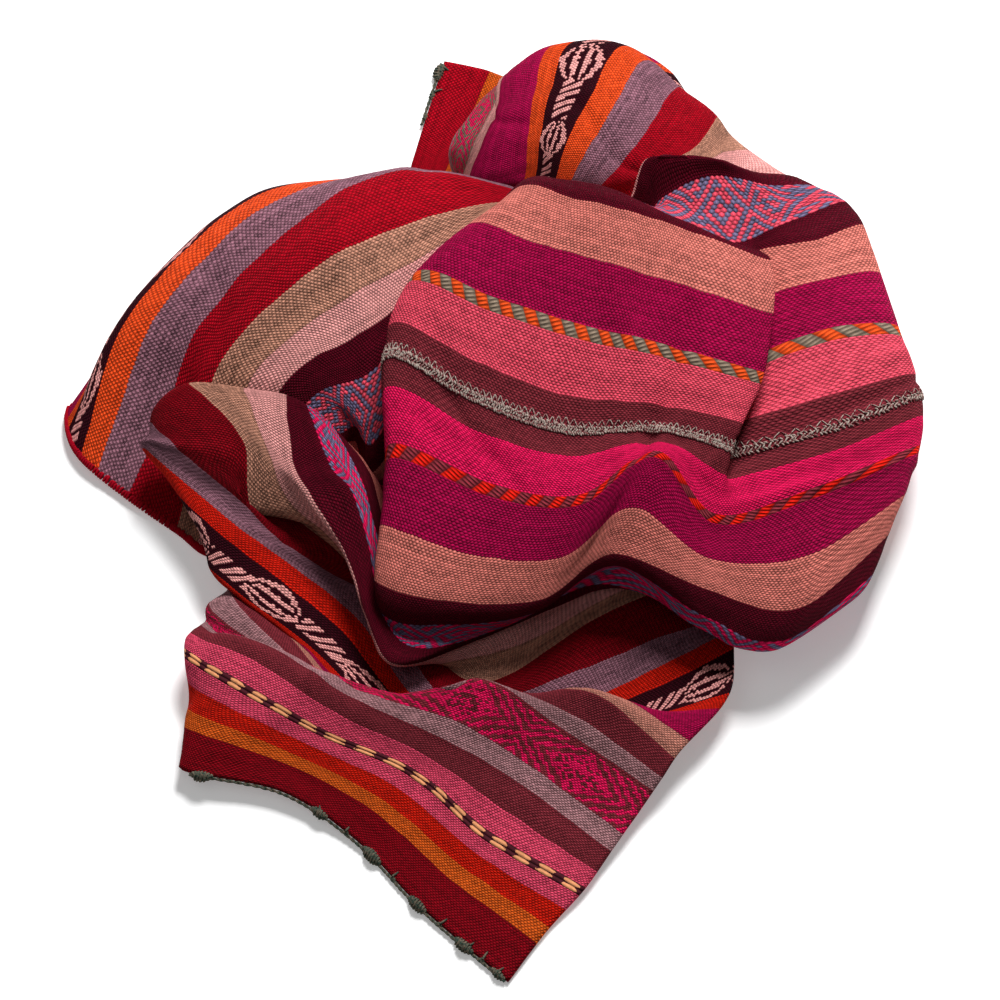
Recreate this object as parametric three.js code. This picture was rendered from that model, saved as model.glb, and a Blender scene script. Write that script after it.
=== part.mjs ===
import * as THREE from "three";

// Sizes in millimetres: one table step, the cloth and its two panels
const step = 5.8;
const clothThickness = 1.8;
const seamGap = 0.3;
const restHeight = clothThickness / 2;

// Wool edging: a cord along the selvedge with knots at uneven distances
const cordRadius = 1.5;
const cordSides = 8;
const cordSpacing = 5.5;
const edgingGap = 0.3;
const frontKnots = [
  { along: 10, radius: 4.4, reach: 9 },
  { along: 66, radius: 3.6, reach: 8 },
  { along: 108, radius: 4.2, reach: 9 },
  { along: 158, radius: 4.4, reach: 10 },
  { along: 192, radius: 3.2, reach: 7 },
  { along: 226, radius: 3.8, reach: 8 },
];
const backKnots = [
  { along: 7, radius: 4.6, reach: 9 },
  { along: 34, radius: 2.6, reach: 7 },
];

// The tables are read on a sheet leaning back at this angle above the floor
const lean = THREE.MathUtils.degToRad(60);

// Stations along the warp, in table steps, from the right end to the left end
const stations = {
  end: 0,
  rim: 6,
  lobe: 12,
  under: 18,
  crease: 23,
  bump: 32,
  saddle: 42,
  centre: 52,
  fold: 62,
  tuck: 69,
  dome: 80,
  brow: 93,
  brim: 100,
  tip: 108,
};
const stationCells = [2, 2, 3, 3, 3, 3, 4, 4, 4, 4, 4, 3, 3];

// A row is a line along the warp and its places are [right, down, rise] in table
// steps; a station it leaves out lies on the smooth line through the others.
// Front flap and the part folded under it
const flapRows = [
  {
    across: 0, cells: 3,
    end: [50.8, 97.8, 0.3], lobe: [42.3, 90.6, 0.3], crease: [35.8, 83.9, 0.5], bump: [28.3, 79, 1.3],
    saddle: [18.3, 76.8, 1.6], centre: [23.4, 75, 0], fold: [33, 73.5, 0], dome: [46, 70.5, 0],
    tip: [60, 65, 0],
  },
  {
    across: 7, cells: 3,
    end: [54.8, 92.6, 0.4], lobe: [46, 86.4, 0.6], crease: [38.6, 80.2, 1.2], bump: [30.4, 75.8, 2.1],
    saddle: [20, 71.6, 2.6], centre: [20.3, 70.5, 1], fold: [29, 69.5, 0], dome: [43.5, 66, 0],
    tip: [54, 59.5, 0],
  },
  {
    across: 12.5, cells: 3,
    end: [58.3, 88.8, 0.7], lobe: [48.7, 83.2, 1.2], crease: [41.4, 77, 2], bump: [32.5, 73.1, 3],
    saddle: [24.2, 68.4, 4], centre: [18.6, 64.8, 3.6], fold: [25.5, 66, 0.35], tuck: [33.5, 64.5, 0],
    dome: [40, 61.5, 0], tip: [48, 54, 0],
  },
  {
    across: 18.8, cells: 3,
    end: [60.8, 85.3, 1], lobe: [51.6, 78.5, 2], crease: [44, 74, 3.1], bump: [34.5, 69.6, 4.5],
    saddle: [27.2, 64.9, 4.4], centre: [20.4, 62.9, 3], fold: [22.5, 62, 0.8], tuck: [29.5, 60.5, 0],
    dome: [35.5, 57, 0], tip: [42, 49, 0],
  },
  {
    across: 27.8, cells: 4,
    end: [65, 79.3, 1.9], lobe: [56, 73.2, 3.5], crease: [48, 68, 5.4], bump: [40, 69.6, 3.4],
    saddle: [31.5, 67.6, 2.6], centre: [24.8, 64, 2.8], fold: [20.8, 60.7, 2.6], tuck: [24.4, 59.2, 0.6],
    dome: [31.5, 55.5, 0], tip: [38, 47.5, 0],
  },
];

// Valley behind the flap, climbing at the left to the small lobe
const valleyRows = [
  {
    across: 35, cells: 4,
    end: [67.8, 75.2, 2.8], lobe: [59.6, 69, 5.3], crease: [51.8, 70.5, 2.8], bump: [43, 72, 2.2],
    saddle: [34.5, 69.4, 1.8], centre: [28, 63.8, 2.1], fold: [21.6, 59.4, 3.4], tuck: [21.8, 57.8, 2],
    dome: [29, 54, 0.9], brow: [33, 50.5, 0.9], tip: [35.5, 47, 0.9],
  },
  {
    across: 43.8, cells: 3,
    end: [72.8, 69.2, 3.2], lobe: [64.5, 71.8, 1.6], crease: [55.8, 73, 1.2], bump: [46.4, 73.6, 1.2],
    saddle: [38, 71, 1.2], centre: [31.2, 64.7, 1.6], fold: [24.2, 59.5, 3.2], tuck: [20.9, 56.4, 3.6],
    dome: [23.5, 55, 2.6], tip: [27, 53, 2.2],
  },
  {
    across: 50.8, cells: 4,
    end: [73.5, 63, 2.4], lobe: [65, 67.2, 1.7], crease: [57.5, 70.4, 1], bump: [49.5, 71.4, 0.95],
    saddle: [42, 70.3, 0.95], centre: [35.8, 62.2, 1.2], fold: [28.5, 56.2, 2.8], tuck: [23, 52.2, 4.8],
    dome: [15, 45.2, 5.2], brow: [16.4, 45.8, 3.6], tip: [21.5, 46.4, 3.2],
  },
  {
    across: 59.8, cells: 3,
    end: [77, 58.5, 1.8], lobe: [68.3, 58.5, 2.6], crease: [59.4, 62, 2.1], bump: [51.2, 67.4, 1.3],
    saddle: [46.6, 68, 1.1], centre: [42, 64.5, 1.1], fold: [36.7, 58.2, 2], tuck: [29.8, 51.6, 4.2],
    dome: [23.4, 45, 7.6], brow: [18.8, 38.8, 7.8], tip: [21, 42.4, 5.2],
  },
  {
    across: 66.3, cells: 4,
    end: [81, 58, 2.6], lobe: [72.8, 56.8, 4.6], crease: [64.5, 56.5, 4.6], bump: [56, 60.5, 3.2],
    saddle: [47.5, 64, 2.3], centre: [39.5, 66.4, 3.3], fold: [36.8, 61.5, 4.2], tuck: [34.5, 55, 5.6],
    dome: [29.4, 47, 7.6], brow: [28.4, 39.6, 8.8], tip: [29.4, 43, 6.4],
  },
  {
    across: 73.5, cells: 4,
    end: [82.5, 60.5, 1.8], rim: [85, 60, 4.4], lobe: [77, 64.9, 4.6], crease: [69.8, 62.6, 5.8],
    bump: [61.5, 56.8, 6.4], saddle: [52.5, 61.5, 4.6], centre: [44, 63.5, 3.6], fold: [39, 62.6, 3.6],
    tuck: [37.6, 56, 5.2], dome: [35, 48, 6.8], brow: [32.2, 41.8, 7.8], tip: [33, 44.5, 5.6],
  },
];

// The large lump and its right lobe, tucked under at the left
const lumpRows = [
  {
    across: 80.3, cells: 4,
    end: [84.5, 55.6, 0], rim: [88.6, 53.6, 4.6], lobe: [80, 60.8, 7], crease: [70.5, 59, 8],
    bump: [61.3, 55.5, 8.6], saddle: [54, 60, 6.8], centre: [44.5, 60.2, 6.6], fold: [37.9, 58.4, 6.4],
    tuck: [38.7, 55.6, 4.6], dome: [36.2, 47.6, 5.6], brow: [33.4, 42.6, 6.4], tip: [33.6, 45, 4.7],
  },
  {
    across: 90.8, cells: 4,
    end: [86.5, 48, 0], rim: [91.5, 45.4, 5.4], lobe: [82, 49.6, 9.4], crease: [71.3, 52.4, 9.4],
    bump: [65.4, 45.8, 12.8], saddle: [58, 50.6, 10.8], centre: [49.5, 49.9, 9.8], fold: [39.4, 45.9, 9.6],
    tuck: [38.9, 49.8, 5.2], dome: [37, 46.8, 4.8], brow: [34.2, 43, 5.2], tip: [34, 45.4, 4],
  },
  {
    across: 100.3, cells: 4,
    end: [86.6, 43.5, 0], rim: [92, 39.6, 5.8], lobe: [83.4, 42.8, 10], under: [73, 45.4, 9.4],
    crease: [72.8, 44.8, 11.2], bump: [66.2, 43, 11.4], saddle: [56.5, 43, 11], centre: [47.5, 39.8, 11.4],
    fold: [38.8, 35.4, 10.8], tuck: [39.4, 43.6, 5.8], dome: [37.5, 45.6, 4.3], brow: [34.8, 42.8, 4.4],
    tip: [34, 45.8, 3.4],
  },
  {
    across: 109.8, cells: 4,
    end: [84.6, 38, 0], rim: [89.8, 32.8, 6], lobe: [82.4, 33, 10], under: [74.6, 36.2, 10],
    crease: [76.2, 37.2, 12.2], bump: [67, 34.6, 13], saddle: [58.5, 32.6, 13.2],
    centre: [49.5, 29.8, 13.4], fold: [41.8, 27.2, 12], tuck: [41.2, 34.6, 7.2], dome: [37.8, 44.2, 4.2],
    brow: [35.1, 42.2, 4.2], tip: [33, 46, 2.9],
  },
  {
    across: 120.3, cells: 3,
    end: [81.6, 30, 0], rim: [86.4, 22.6, 6.2], lobe: [81.4, 24, 9.8], under: [75.6, 25, 10.2],
    crease: [76.8, 26, 12.4], bump: [69.5, 23.2, 14.2], saddle: [63.5, 21.2, 14.8],
    centre: [57.5, 19.8, 14.8], fold: [51.8, 18.9, 13.2], tuck: [48.5, 25.5, 9], dome: [37.9, 42.6, 4.6],
    brow: [35.2, 41.5, 4.4], tip: [31.4, 46.6, 2.6],
  },
];

// Behind the crest: the curl at the right, the big left lobe and its end
const backRows = [
  {
    across: 124.3, cells: 3,
    end: [80, 28, 0.6], rim: [84.8, 20.4, 6.2], lobe: [79.4, 22, 9.2], crease: [72.8, 24.2, 10.4],
    bump: [66.5, 21.4, 11.8], saddle: [61, 19, 13], centre: [56.5, 18.2, 13], fold: [51.6, 18.6, 11.2],
    tuck: [46.4, 26.4, 8.7], dome: [37.8, 40.4, 5.6], brow: [35, 40.8, 4.9], tip: [28.8, 48, 2],
  },
  {
    across: 130.3, cells: 3,
    end: [78, 25.5, 1.4], rim: [82, 19.2, 6.6], lobe: [77, 18.6, 10], crease: [71.5, 18, 11.8],
    bump: [66.2, 18.2, 12], saddle: [60.5, 20.2, 9.8], centre: [55.5, 20.4, 9.6], fold: [51, 20, 9],
    tuck: [44.5, 27.4, 8.5], dome: [37.4, 36.8, 7], brow: [31.2, 39.8, 6], brim: [27.6, 46, 2.8],
    tip: [25, 51.4, 1.1],
  },
  {
    across: 134.3, cells: 3,
    end: [76.5, 23, 2.4], rim: [79, 17.8, 7], lobe: [74.5, 16.8, 10.4], crease: [70, 15.9, 12.4],
    bump: [65.2, 16.8, 12.2], saddle: [60.5, 21, 8.6], centre: [55, 21.2, 7.8], fold: [50.6, 20.6, 7.8],
    tuck: [42.4, 28.2, 8.4], dome: [36.4, 32.8, 8.4], brow: [28.6, 37.8, 6.8], brim: [24.4, 46, 2.2],
    tip: [21.2, 55.4, 0.4],
  },
  {
    across: 140.8, cells: 3,
    end: [68.5, 13.4, 3.8], lobe: [70, 11, 7], crease: [67.5, 13.5, 8.2], bump: [64.8, 16.8, 8.4],
    saddle: [60.5, 21.5, 6.2], centre: [55.5, 21.8, 6], fold: [50.4, 20.2, 7], tuck: [42, 21.8, 9.2],
    dome: [31.6, 26.6, 9.8], brow: [21.8, 36.4, 5.4], brim: [19.6, 44.5, 1.9], tip: [17.6, 53, 0.4],
  },
  {
    across: 146.3, cells: 3,
    end: [66.5, 12.2, 3.6], lobe: [67.6, 8.6, 6.8], crease: [64.6, 12.8, 8.8], bump: [61.2, 17.2, 8.8],
    saddle: [58, 19.8, 7], centre: [54.3, 20.4, 6.4], fold: [50.2, 18.6, 6.8], tuck: [41, 17.4, 8.6],
    dome: [29, 23, 8.8], brow: [19.6, 32.8, 5.4], brim: [16.6, 40.6, 2.2], tip: [12.6, 49.6, 0.5],
  },
  {
    across: 152.3, cells: 3,
    end: [62.5, 8.6, 3.2], lobe: [62.2, 4.4, 7], crease: [58.8, 9.6, 9.2], bump: [56.4, 14.4, 9.4],
    saddle: [55.2, 18.6, 7.2], centre: [53, 19.4, 5.6], fold: [48.5, 18.3, 5.2], tuck: [40, 18.2, 5.6],
    dome: [26.4, 20.4, 4.8], brow: [14.4, 30.8, 4.2], tip: [8.6, 46.4, 0.9],
  },
];

// Top lobe, its rolled edge and the corner that shows behind it
const cornerRows = [
  {
    across: 159.3, cells: 3,
    end: [57.5, 8.6, 2.8], lobe: [55.4, 4.4, 7.2], crease: [53.2, 9.4, 8.6], bump: [52.6, 14, 8.2],
    saddle: [52.2, 18, 6.2], centre: [50.6, 19, 4.8], fold: [46.8, 18.6, 4.6], tuck: [39.9, 18.6, 4.8],
    dome: [26, 20.6, 4], brow: [14.2, 31.2, 3.6], tip: [6.6, 42, 0.7],
  },
  {
    across: 163.8, cells: 2,
    end: [56, 9.4, 2.6], lobe: [51.6, 6.6, 7], crease: [50.3, 10.5, 8], bump: [48.8, 14.5, 7.6],
    saddle: [47.8, 18.4, 5.6], centre: [48.2, 19.6, 3.5], fold: [45.2, 19.9, 2.9], tuck: [39.8, 20.1, 2.3],
    dome: [25.5, 21.7, 2], brow: [13.7, 32.2, 1.8], tip: [7.4, 40.4, 0.5],
  },
  {
    across: 172.8, cells: 3,
    end: [55, 10.2, 2.2], lobe: [50.4, 8, 6.6], crease: [49.2, 11, 7.4], bump: [47.2, 14.8, 7],
    saddle: [46.2, 18.6, 4.2], centre: [46.9, 20.6, 2.2], fold: [43.6, 22.6, 1], tuck: [40, 24, 0],
    dome: [29, 26.5, 0], brow: [19.5, 34.5, 0], tip: [11.5, 41.5, 0],
  },
  {
    across: 180, cells: 3,
    end: [54.4, 9.6, 1.2], lobe: [50.6, 8.6, 5.2], crease: [46.8, 11.7, 5.6], bump: [45, 15.2, 4.8],
    saddle: [46.6, 19.6, 2.4], centre: [48.3, 23.4, 0.9], fold: [45, 27, 0], tuck: [41, 29.5, 0],
    dome: [32, 31, 0], brow: [25, 36.5, 0], tip: [16.5, 42, 0],
  },
  {
    across: 188, cells: 3,
    end: [53, 8.6, 0.5], lobe: [50, 12, 1], crease: [48.2, 15.6, 1.3], bump: [46.6, 18, 1.6],
    saddle: [47.2, 22.5, 0.6], centre: [49.5, 27, 0], fold: [47.5, 32, 0], tuck: [42.5, 34.5, 0],
    dome: [35.5, 35.5, 0], brow: [29.5, 38.5, 0], tip: [22, 42.5, 0],
  },
  {
    across: 195.9, cells: 2,
    end: [48.6, 6.8, 0.4], lobe: [47, 14.6, 0.3], crease: [45.6, 17.6, 0.3], bump: [44.8, 19.2, 0.5],
    saddle: [46, 23.8, 0], centre: [49.2, 30, 0], fold: [49.5, 36.5, 0], tuck: [45, 40.5, 0],
    dome: [38.5, 41, 0], brow: [33, 40.6, 0], tip: [28, 43, 0],
  },
  {
    across: 200.6, cells: 1,
    end: [44.2, 5.9, 0.4], lobe: [43.2, 14.6, 0.4], crease: [42.8, 17.2, 0], bump: [42.6, 19, 0],
    saddle: [44.2, 24.2, 0], centre: [48, 31, 0], fold: [50, 38.4, 0], tuck: [47, 43.5, 0],
    dome: [41.5, 43.6, 0], brow: [37, 43, 0], tip: [32, 43.8, 0],
  },
];

const rows = [...flapRows, ...valleyRows, ...lumpRows, ...backRows, ...cornerRows];
const alongs = Object.values(stations);
const acrosses = rows.map((row) => row.across);
const seamAcross = 100.3;

// From the leaning sheet to the floor frame
function place([right, down, rise]) {
  const x = (right - 49) * step;
  const z = rise * step;
  const y = ((50 - down) * step - z * Math.cos(lean)) / Math.sin(lean);
  return new THREE.Vector3(x, y, z);
}

const lines = rows.map((row) => {
  const kept = Object.keys(stations).filter((name) => name in row);
  return { marks: kept.map((name) => stations[name]), points: kept.map((name) => place(row[name])) };
});

// Slope of a smooth line at one of its points
function slopeAt(points, marks, i) {
  const a = Math.max(i - 1, 0);
  const b = Math.min(i + 1, points.length - 1);
  return points[b].clone().sub(points[a]).divideScalar(marks[b] - marks[a]);
}

// A smooth line through points, read at the mark t
function lineAt(points, marks, t) {
  let i = 0;
  while (i < marks.length - 2 && t > marks[i + 1]) {
    i += 1;
  }
  const span = marks[i + 1] - marks[i];
  const s = (t - marks[i]) / span;
  const startSlope = slopeAt(points, marks, i).multiplyScalar(span);
  const endSlope = slopeAt(points, marks, i + 1).multiplyScalar(span);
  const s2 = s * s;
  const s3 = s2 * s;
  return points[i]
    .clone()
    .multiplyScalar(2 * s3 - 3 * s2 + 1)
    .addScaledVector(startSlope, s3 - 2 * s2 + s)
    .addScaledVector(points[i + 1], 3 * s2 - 2 * s3)
    .addScaledVector(endSlope, s3 - s2);
}

// Middle of the cloth at a place given in table steps along and across
function clothAt(along, across) {
  const crossing = lines.map((line) => lineAt(line.points, line.marks, along));
  const point = lineAt(crossing, acrosses, across);
  point.z = Math.max(point.z, restHeight);
  return point;
}

// Marks between the stations, each stretch cut into its own number of cells
function marksBetween(marks, cells) {
  const list = [];
  for (let i = 0; i < marks.length - 1; i += 1) {
    for (let k = 0; k < cells[i]; k += 1) {
      list.push(marks[i] + ((marks[i + 1] - marks[i]) * k) / cells[i]);
    }
  }
  list.push(marks[marks.length - 1]);
  return list;
}

// Directions along and across the cloth at a place
function directionsAt(along, across) {
  const d = 0.05;
  const a0 = clothAt(Math.max(along - d, 0), across);
  const a1 = clothAt(Math.min(along + d, alongs[alongs.length - 1]), across);
  const c0 = clothAt(along, Math.max(across - d, 0));
  const c1 = clothAt(along, Math.min(across + d, acrosses[acrosses.length - 1]));
  return { warp: a1.sub(a0).normalize(), weft: c1.sub(c0).normalize() };
}

// One woven panel: both faces of the sheet closed by a rim
function makePanel(name, marksAcross, seamSide, colour) {
  const marksAlong = marksBetween(alongs, stationCells);
  const columns = marksAlong.length;
  const count = marksAcross.length;
  const positions = [];
  const faces = [];
  for (const side of [1, -1]) {
    for (const across of marksAcross) {
      for (const along of marksAlong) {
        const point = clothAt(along, across);
        const { warp, weft } = directionsAt(along, across);
        const normal = weft.clone().cross(warp).normalize();
        if (across === seamAcross) {
          point.addScaledVector(weft, (seamSide * seamGap) / 2);
        }
        point.addScaledVector(normal, (side * clothThickness) / 2);
        positions.push(point.x, point.y, Math.max(point.z, 0));
      }
    }
  }
  const at = (side, line, column) => side * count * columns + line * columns + column;
  const quad = (a, b, c, d) => faces.push(a, b, c, a, c, d);
  const lastLine = count - 1;
  const lastColumn = columns - 1;
  for (let i = 0; i < lastLine; i += 1) {
    for (let k = 0; k < lastColumn; k += 1) {
      quad(at(0, i, k), at(0, i + 1, k), at(0, i + 1, k + 1), at(0, i, k + 1));
      quad(at(1, i, k), at(1, i, k + 1), at(1, i + 1, k + 1), at(1, i + 1, k));
    }
    quad(at(0, i + 1, 0), at(0, i, 0), at(1, i, 0), at(1, i + 1, 0));
    quad(at(0, i, lastColumn), at(0, i + 1, lastColumn), at(1, i + 1, lastColumn), at(1, i, lastColumn));
  }
  for (let k = 0; k < lastColumn; k += 1) {
    quad(at(0, 0, k), at(0, 0, k + 1), at(1, 0, k + 1), at(1, 0, k));
    quad(at(0, lastLine, k), at(1, lastLine, k), at(1, lastLine, k + 1), at(0, lastLine, k + 1));
  }
  return makeMesh(name, positions, faces, colour);
}

function makeMesh(name, positions, faces, colour) {
  const geometry = new THREE.BufferGeometry();
  geometry.setAttribute("position", new THREE.Float32BufferAttribute(positions, 3));
  geometry.setIndex(faces);
  geometry.computeVertexNormals();
  const material = new THREE.MeshStandardMaterial({ color: colour, roughness: 0.95, metalness: 0 });
  const mesh = new THREE.Mesh(geometry, material);
  mesh.name = name;
  return mesh;
}

// The selvedge as the panel's rim has it, straight between two marks
function selvedgeAt(along, across) {
  const marks = marksBetween(alongs, stationCells);
  const i = marks.findIndex((mark) => mark > along) - 1;
  const part = (along - marks[i]) / (marks[i + 1] - marks[i]);
  return clothAt(marks[i], across).lerp(clothAt(marks[i + 1], across), part);
}

// A cord beside a selvedge, thick at its knots and closed at both ends
function makeEdging(name, across, outward, length, knots, colour) {
  const positions = [];
  const faces = [];
  const count = Math.round(length / cordSpacing);
  for (let i = 0; i <= count; i += 1) {
    const travel = (length * i) / count;
    const along = 0.3 + travel / step;
    const { warp, weft } = directionsAt(along, across);
    const normal = weft.clone().cross(warp).normalize();
    const out = warp.clone().cross(normal).normalize();
    if (out.dot(weft) * outward < 0) {
      out.negate();
    }
    let radius = cordRadius;
    for (const knot of knots) {
      const near = (travel - knot.along) / knot.reach;
      radius = Math.max(radius, cordRadius + (knot.radius - cordRadius) * Math.exp(-near * near * 3));
    }
    const middle = selvedgeAt(along, across).addScaledVector(out, radius + edgingGap);
    middle.z = Math.max(middle.z, radius * 0.8);
    for (let k = 0; k < cordSides; k += 1) {
      const turn = (2 * Math.PI * k) / cordSides;
      const offset = out.clone().multiplyScalar(Math.cos(turn) * radius);
      offset.addScaledVector(normal, Math.sin(turn) * radius * 0.8);
      const point = middle.clone().add(offset);
      positions.push(point.x, point.y, Math.max(point.z, 0));
    }
  }
  for (let i = 0; i < count; i += 1) {
    for (let k = 0; k < cordSides; k += 1) {
      const next = (k + 1) % cordSides;
      const a = i * cordSides + k;
      const b = i * cordSides + next;
      const c = (i + 1) * cordSides + next;
      const d = (i + 1) * cordSides + k;
      faces.push(a, b, c, a, c, d);
    }
  }
  for (let k = 1; k < cordSides - 1; k += 1) {
    const last = count * cordSides;
    faces.push(0, k + 1, k, last, last + k, last + k + 1);
  }
  return makeMesh(name, positions, faces, colour);
}

// Turns a body outward when its faces wind the other way
function faceOutward(mesh) {
  const place3 = mesh.geometry.attributes.position;
  const index = mesh.geometry.index.array;
  let volume = 0;
  const corners = [new THREE.Vector3(), new THREE.Vector3(), new THREE.Vector3()];
  for (let i = 0; i < index.length; i += 3) {
    corners.forEach((corner, k) => corner.fromBufferAttribute(place3, index[i + k]));
    volume += corners[0].dot(corners[1].clone().cross(corners[2]));
  }
  if (volume < 0) {
    for (let i = 0; i < index.length; i += 3) {
      const kept = index[i + 1];
      index[i + 1] = index[i + 2];
      index[i + 2] = kept;
    }
  }
  return mesh;
}

const marksAcross = marksBetween(acrosses, rows.map((row) => row.cells));
const frontMarks = marksAcross.filter((mark) => mark <= seamAcross);
const backMarks = marksAcross.filter((mark) => mark >= seamAcross);

const blanket = new THREE.Group();
blanket.name = "blanket";
blanket.add(makePanel("front_panel", frontMarks, -1, 0xa8203c));
blanket.add(makePanel("back_panel", backMarks, 1, 0xb4305a));
blanket.add(makeEdging("front_edging", 0, -1, 232, frontKnots, 0x56685c));
blanket.add(makeEdging("back_edging", acrosses[acrosses.length - 1], 1, 46, backKnots, 0x56685c));
blanket.children.forEach(faceOutward);

// Origin under the middle of the whole, on the floor
const bounds = new THREE.Box3().setFromObject(blanket);
const middle = bounds.getCenter(new THREE.Vector3());
for (const mesh of blanket.children) {
  mesh.geometry.translate(-middle.x, -middle.y, -bounds.min.z);
}

export default blanket;
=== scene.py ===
# Striped hand-woven wool blanket, lying loosely folded in a heap
import math
import random
from functools import partial
import bmesh
import bpy
import numpy as np
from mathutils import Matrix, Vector, noise


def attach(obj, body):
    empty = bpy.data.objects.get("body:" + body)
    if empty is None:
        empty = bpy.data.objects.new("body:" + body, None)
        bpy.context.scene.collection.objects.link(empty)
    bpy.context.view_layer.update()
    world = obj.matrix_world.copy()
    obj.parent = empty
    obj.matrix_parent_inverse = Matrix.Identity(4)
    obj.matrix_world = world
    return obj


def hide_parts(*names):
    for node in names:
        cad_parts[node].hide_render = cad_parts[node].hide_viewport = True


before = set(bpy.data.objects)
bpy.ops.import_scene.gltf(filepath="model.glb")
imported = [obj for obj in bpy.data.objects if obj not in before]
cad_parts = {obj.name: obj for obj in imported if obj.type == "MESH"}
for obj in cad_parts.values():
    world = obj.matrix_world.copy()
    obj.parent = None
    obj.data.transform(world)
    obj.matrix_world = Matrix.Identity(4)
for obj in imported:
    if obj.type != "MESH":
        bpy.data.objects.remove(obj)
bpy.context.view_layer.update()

# Sizes in metres: a table step, the cloth and the place of the tables on the floor
cloth = {
    "step": 0.0058,
    "thickness": 0.0018,
    "seamAcross": 100.3,
    "seamGap": 0.0003,
    "lean": math.radians(60),
    "tableMiddle": (49, 50),
    "heapMiddle": (0.00232, -0.01419),
    "linesAcross": 200,
    "linesAlong": 204,
    "waviness": 0.001,
    "floorGap": 0.0001,
    "panelFlat": (0.45, 0.5),
}

# Stations along the warp, in table steps, from the right end to the left end
stations = dict(end=0, rim=6, lobe=12, under=18, crease=23, bump=32, saddle=42, centre=52,
                fold=62, tuck=69, crook=74, dome=80, brow=93, brim=100, tip=108)

# A row is a line along the warp and its places are (right, down, rise) in table steps
# Front flap and the part folded under it
flapRows = [
    dict(across=0, end=(50.8, 97.8, 0.3), lobe=(42.3, 90.6, 0.3), crease=(35.8, 83.9, 0.5),
         bump=(28.3, 79, 1.3), saddle=(18.3, 76.8, 1.6), centre=(23.4, 75, 0), fold=(33, 73.5, 0),
         dome=(46, 70.5, 0), tip=(60, 65, 0)),
    dict(across=7, end=(54.8, 92.6, 0.4), lobe=(46, 86.4, 0.6), crease=(38.6, 80.2, 1.2),
         bump=(30.4, 75.8, 2.1), saddle=(20, 71.6, 2.6), centre=(20.3, 70.5, 1), fold=(29, 69.5, 0),
         dome=(43.5, 66, 0), tip=(54, 59.5, 0)),
    dict(across=12.5, end=(58.3, 88.8, 0.7), lobe=(48.7, 83.2, 1.2), crease=(41.4, 77, 2),
         bump=(32.5, 73.1, 3), saddle=(24.2, 68.4, 4), centre=(18.6, 64.8, 3.6), fold=(25.5, 66, 0.35),
         tuck=(33.5, 64.5, 0), dome=(40, 61.5, 0), tip=(48, 54, 0)),
    dict(across=18.8, end=(60.8, 85.3, 1), lobe=(51.6, 78.5, 2), crease=(44, 74, 3.1),
         bump=(34.5, 69.6, 4.5), saddle=(27.2, 64.9, 4.4), centre=(20.4, 62.9, 3),
         fold=(22.5, 62, 0.8), tuck=(29.5, 60.5, 0), dome=(35.5, 57, 0), tip=(42, 49, 0)),
    dict(across=27.8, end=(65, 79.3, 1.9), lobe=(56, 73.2, 3.5), crease=(48, 68, 5.4),
         bump=(40, 69.6, 3.4), saddle=(31.5, 67.6, 2.6), centre=(24.8, 64, 2.8),
         fold=(20.8, 60.7, 2.6), tuck=(24.4, 59.2, 0.6), dome=(31.5, 55.5, 0), tip=(38, 47.5, 0)),
]

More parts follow.
